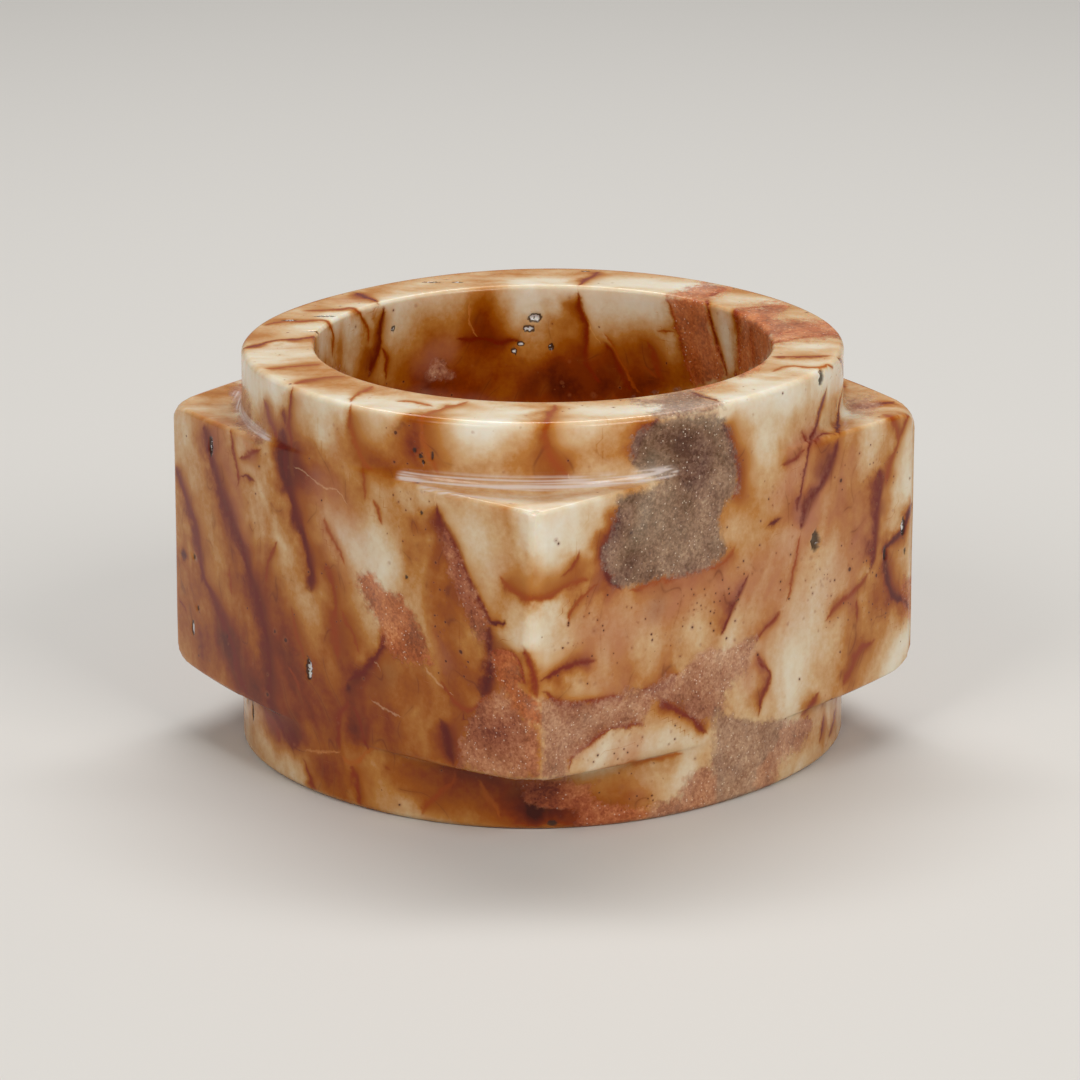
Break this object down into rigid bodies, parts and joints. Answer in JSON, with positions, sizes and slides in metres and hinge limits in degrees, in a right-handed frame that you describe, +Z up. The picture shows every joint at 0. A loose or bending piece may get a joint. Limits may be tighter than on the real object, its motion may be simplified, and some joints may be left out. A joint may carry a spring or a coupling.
{
  "type": "jade cong",
  "caption": "Low jade cong: a wide round tube with a polished squared block around its middle, open through from rim to foot.",
  "frame": {"origin": "on the surface the cong stands on, under the middle of its bounding box, which is on the axis of the bore", "axes": "+Z up along the bore from foot to rim; the four faces look along +X, +Y, -X and -Y, and the four corners lie on the diagonals"},
  "size_m": [0.0784, 0.0812, 0.0541],
  "materials": {
    "jade": "polished, a little translucent cream jade with amber, russet and purple-brown veins"
  },
  "bodies": {
    "root": {"jade_cong": "jade"}
  },
  "joints": []
}
